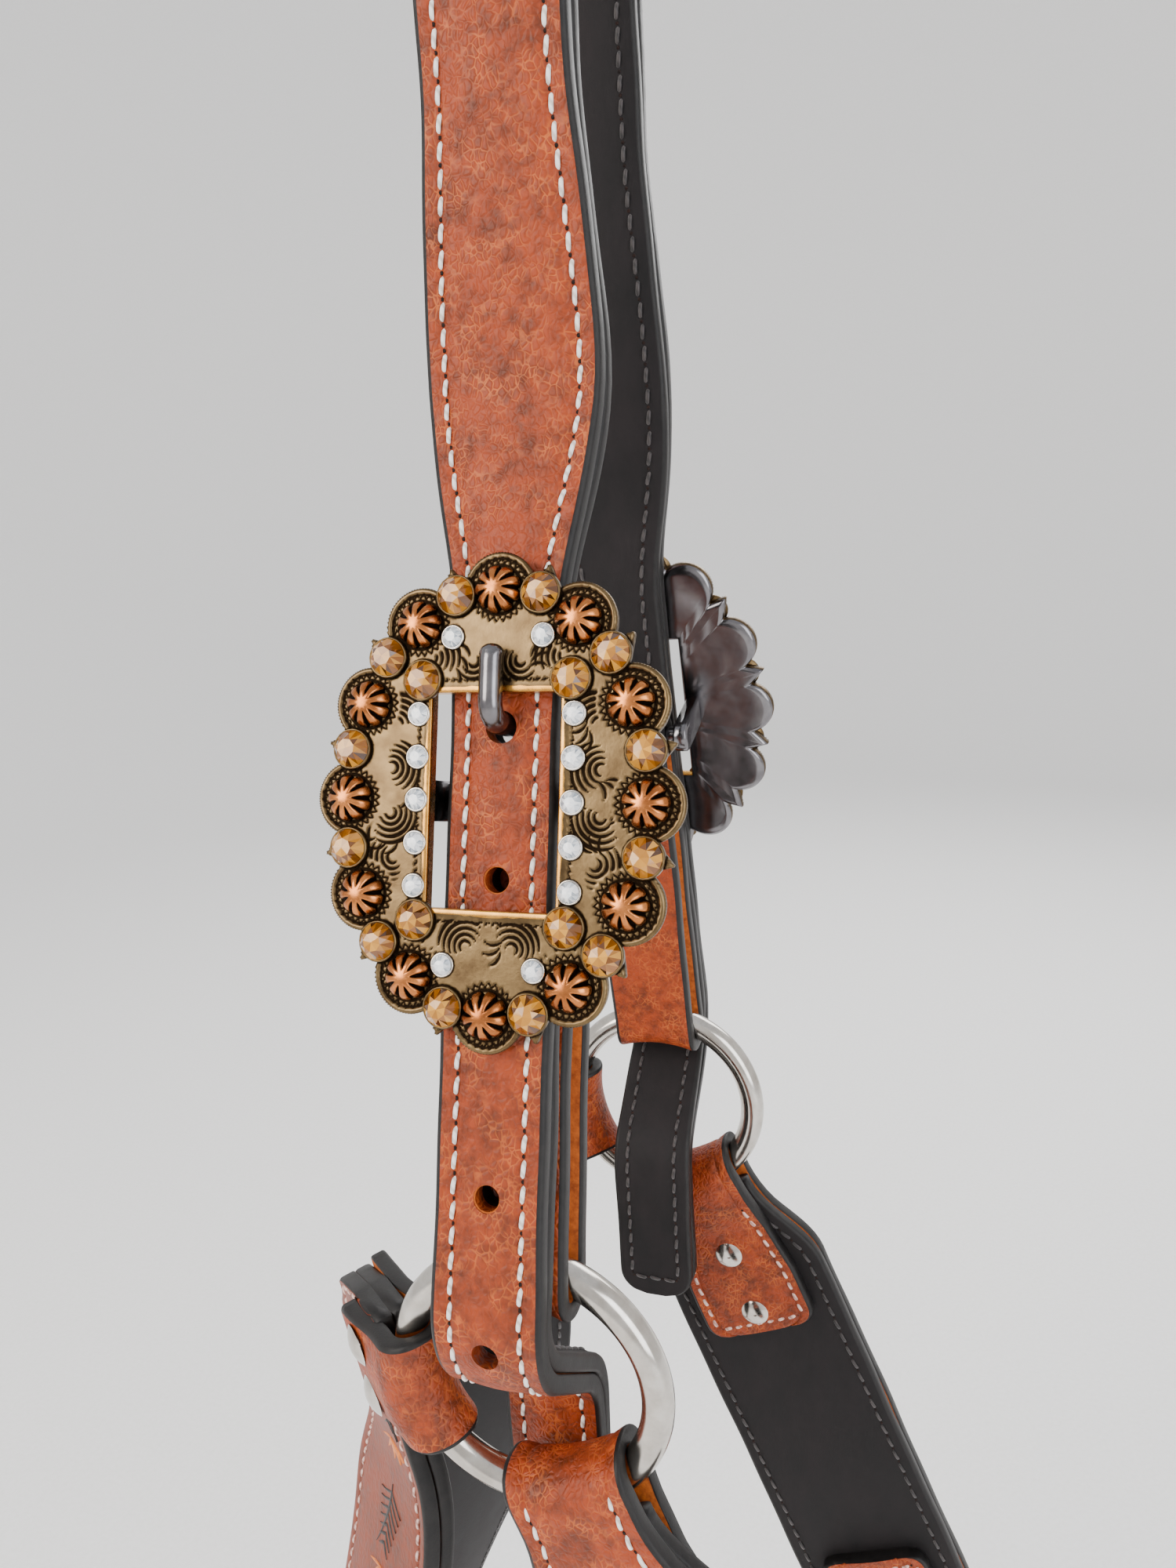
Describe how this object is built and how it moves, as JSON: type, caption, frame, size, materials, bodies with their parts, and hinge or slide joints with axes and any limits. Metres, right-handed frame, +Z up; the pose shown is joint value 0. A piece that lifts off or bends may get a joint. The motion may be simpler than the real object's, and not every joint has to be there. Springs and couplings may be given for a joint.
{
  "type": "western breast collar",
  "caption": "Western leather breast collar: stitched wither strap, scalloped jewelled buckles, shoulder rings, chest pieces, tugs and a swivel snap, hanging from its strap.",
  "frame": {"origin": "underside of the wither strap, at the middle of its bend over the hook", "axes": "+X to the horse's tail, +Y to its right side, +Z up"},
  "size_m": [0.1974, 0.134, 0.8071],
  "materials": {
    "brown_leather": "satin pebbled",
    "black_leather": "matte",
    "antique_metal": "antiqued, engraved",
    "copper": "burnished",
    "gunmetal": "dark plated",
    "nickel": "polished nickel",
    "amber_glass": "faceted",
    "clear_glass": "faceted, foil backed"
  },
  "bodies": {
    "wither_strap": {"wither_face": "brown_leather", "wither_lining": "black_leather", "buckle_plate_left": "antique_metal", "heel_bar_left": "gunmetal", "berries_left": "copper", "amber_crystals_left": "amber_glass", "rhinestones_left": "clear_glass", "ring_tab_left": "brown_leather", "tab_screws_left": "nickel", "buckle_plate_right": "antique_metal", "heel_bar_right": "gunmetal", "berries_right": "copper", "amber_crystals_right": "amber_glass", "rhinestones_right": "clear_glass", "ring_tab_right": "brown_leather", "tab_screws_right": "nickel"},
    "tongue_left": {"tongue_left": "gunmetal"},
    "shoulder_ring_left": {"shoulder_ring_left": "nickel"},
    "tongue_right": {"tongue_right": "gunmetal"},
    "shoulder_ring_right": {"shoulder_ring_right": "nickel"},
    "chest": {"chest_face_left": "brown_leather", "chest_lining_left": "black_leather", "chest_upper_loop_left": "brown_leather", "chest_lower_loop_left": "brown_leather", "chest_screws_left": "nickel", "chest_face_right": "brown_leather", "chest_lining_right": "black_leather", "chest_upper_loop_right": "brown_leather", "chest_lower_loop_right": "brown_leather", "chest_screws_right": "nickel"},
    "centre_ring": {"centre_ring": "nickel"},
    "girth_strap": {"girth_strap": "brown_leather", "girth_screws": "nickel"},
    "snap_swivel": {"snap_swivel": "nickel"},
    "snap_body": {"snap_body": "nickel"},
    "snap_bolt": {"snap_bolt": "nickel"},
    "tug_left": {"tug_face_left": "brown_leather", "tug_lining_left": "black_leather", "tug_screws_left": "nickel"},
    "tug_buckle_left": {"tug_buckle_left": "nickel"},
    "tug_roller_left": {"tug_roller_left": "nickel"},
    "tug_tongue_left": {"tug_tongue_left": "nickel"},
    "tug_right": {"tug_face_right": "brown_leather", "tug_lining_right": "black_leather", "tug_screws_right": "nickel"},
    "tug_buckle_right": {"tug_buckle_right": "nickel"},
    "tug_roller_right": {"tug_roller_right": "nickel"},
    "tug_tongue_right": {"tug_tongue_right": "nickel"}
  },
  "joints": [
    {"name": "tongue_left_lift", "type": "hinge", "parent": "wither_strap", "child": "tongue_left", "pos_m": [0, -0.0314, -0.22761], "axis": [1, 0, 0], "range_deg": [0, 8]},
    {"name": "shoulder_ring_left_slip", "type": "hinge", "parent": "wither_strap", "child": "shoulder_ring_left", "pos_m": [0, -0.05, -0.328], "axis": [0, 1, 0], "continuous": true},
    {"name": "tongue_right_lift", "type": "hinge", "parent": "wither_strap", "child": "tongue_right", "pos_m": [0, 0.0314, -0.22761], "axis": [-1, 0, 0], "range_deg": [0, 8]},
    {"name": "shoulder_ring_right_slip", "type": "hinge", "parent": "wither_strap", "child": "shoulder_ring_right", "pos_m": [0, 0.05, -0.328], "axis": [0, 1, 0], "continuous": true},
    {"name": "chest_swing", "type": "hinge", "parent": "wither_strap", "child": "chest", "pos_m": [0, 0, -0.328], "axis": [0, 1, 0], "range_deg": [-10, 22]},
    {"name": "centre_ring_slip", "type": "hinge", "parent": "chest", "child": "centre_ring", "pos_m": [-0.09, 0, -0.6], "axis": [1, 0, 0], "continuous": true},
    {"name": "girth_swing", "type": "hinge", "parent": "chest", "child": "girth_strap", "pos_m": [-0.09, 0, -0.6235], "axis": [0, 1, 0], "range_deg": [-50, 50]},
    {"name": "snap_hinge", "type": "hinge", "parent": "girth_strap", "child": "snap_swivel", "pos_m": [-0.09, 0, -0.7195], "axis": [0, 1, 0], "range_deg": [-40, 40]},
    {"name": "snap_swivel_turn", "type": "hinge", "parent": "snap_swivel", "child": "snap_body", "pos_m": [-0.09, 0, -0.7395], "axis": [0, 0, 1], "continuous": true},
    {"name": "snap_bolt_slide", "type": "slide", "parent": "snap_body", "child": "snap_bolt", "axis": [0, 0, 1], "range_m": [0, 0.009], "stiffness_N_per_m": 250, "springref_m": -0.004},
    {"name": "tug_left_swing", "type": "hinge", "parent": "wither_strap", "child": "tug_left", "pos_m": [0, -0.05, -0.328], "axis": [0, 1, 0], "range_deg": [-45, 8]},
    {"name": "tug_buckle_left_swing", "type": "hinge", "parent": "tug_left", "child": "tug_buckle_left", "pos_m": [0.06968, -0.05, -0.50046], "axis": [0.9272, 0, 0.3746], "range_deg": [-30, 30]},
    {"name": "tug_roller_left_spin", "type": "hinge", "parent": "tug_buckle_left", "child": "tug_roller_left", "pos_m": [0.08092, -0.05, -0.52827], "axis": [0.9272, 0, 0.3746], "continuous": true},
    {"name": "tug_tongue_left_lift", "type": "hinge", "parent": "tug_buckle_left", "child": "tug_tongue_left", "pos_m": [0.06968, -0.05, -0.50046], "axis": [-0.9272, 0, -0.3746], "range_deg": [0, 75]},
    {"name": "tug_right_swing", "type": "hinge", "parent": "wither_strap", "child": "tug_right", "pos_m": [0, 0.05, -0.328], "axis": [0, 1, 0], "range_deg": [-45, 8]},
    {"name": "tug_buckle_right_swing", "type": "hinge", "parent": "tug_right", "child": "tug_buckle_right", "pos_m": [0.06968, 0.05, -0.50046], "axis": [-0.9272, 0, -0.3746], "range_deg": [-30, 30]},
    {"name": "tug_roller_right_spin", "type": "hinge", "parent": "tug_buckle_right", "child": "tug_roller_right", "pos_m": [0.08092, 0.05, -0.52827], "axis": [-0.9272, 0, -0.3746], "continuous": true},
    {"name": "tug_tongue_right_lift", "type": "hinge", "parent": "tug_buckle_right", "child": "tug_tongue_right", "pos_m": [0.06968, 0.05, -0.50046], "axis": [0.9272, 0, 0.3746], "range_deg": [0, 75]}
  ]
}
